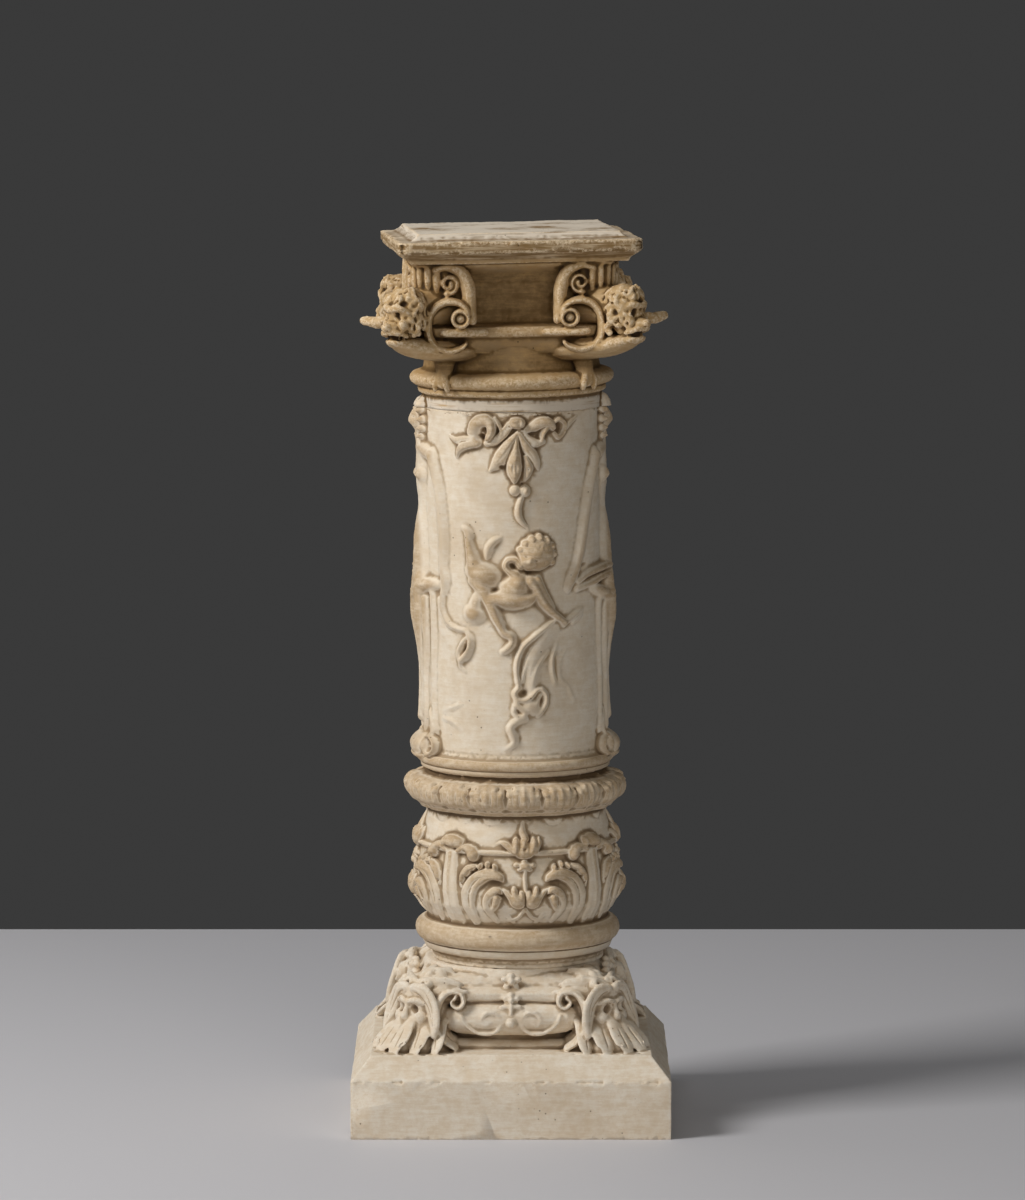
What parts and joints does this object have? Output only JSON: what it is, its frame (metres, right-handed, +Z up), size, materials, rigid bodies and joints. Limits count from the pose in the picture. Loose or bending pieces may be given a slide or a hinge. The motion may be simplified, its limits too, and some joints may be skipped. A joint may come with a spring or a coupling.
{
  "type": "plaster column",
  "caption": "Cast plaster table column: square plinth with leaf masks, figured shaft with drum and leaf collar, capital with scrolled corner heads and a square slab",
  "frame": {"origin": "centre of the underside of the plinth", "axes": "+Z up along the column, -Y to the front of the plinth, +X to its right"},
  "size_m": [0.213, 0.213, 0.601],
  "materials": {
    "plaster_base": "matt cast plaster, warm white with ochre patina",
    "plaster_shaft": "matt cast plaster, cream, beige on the raised parts",
    "plaster_capital": "matt cast plaster under a brown patina"
  },
  "bodies": {
    "root": {"base": "plaster_base", "shaft": "plaster_shaft", "capital": "plaster_capital"}
  },
  "joints": []
}
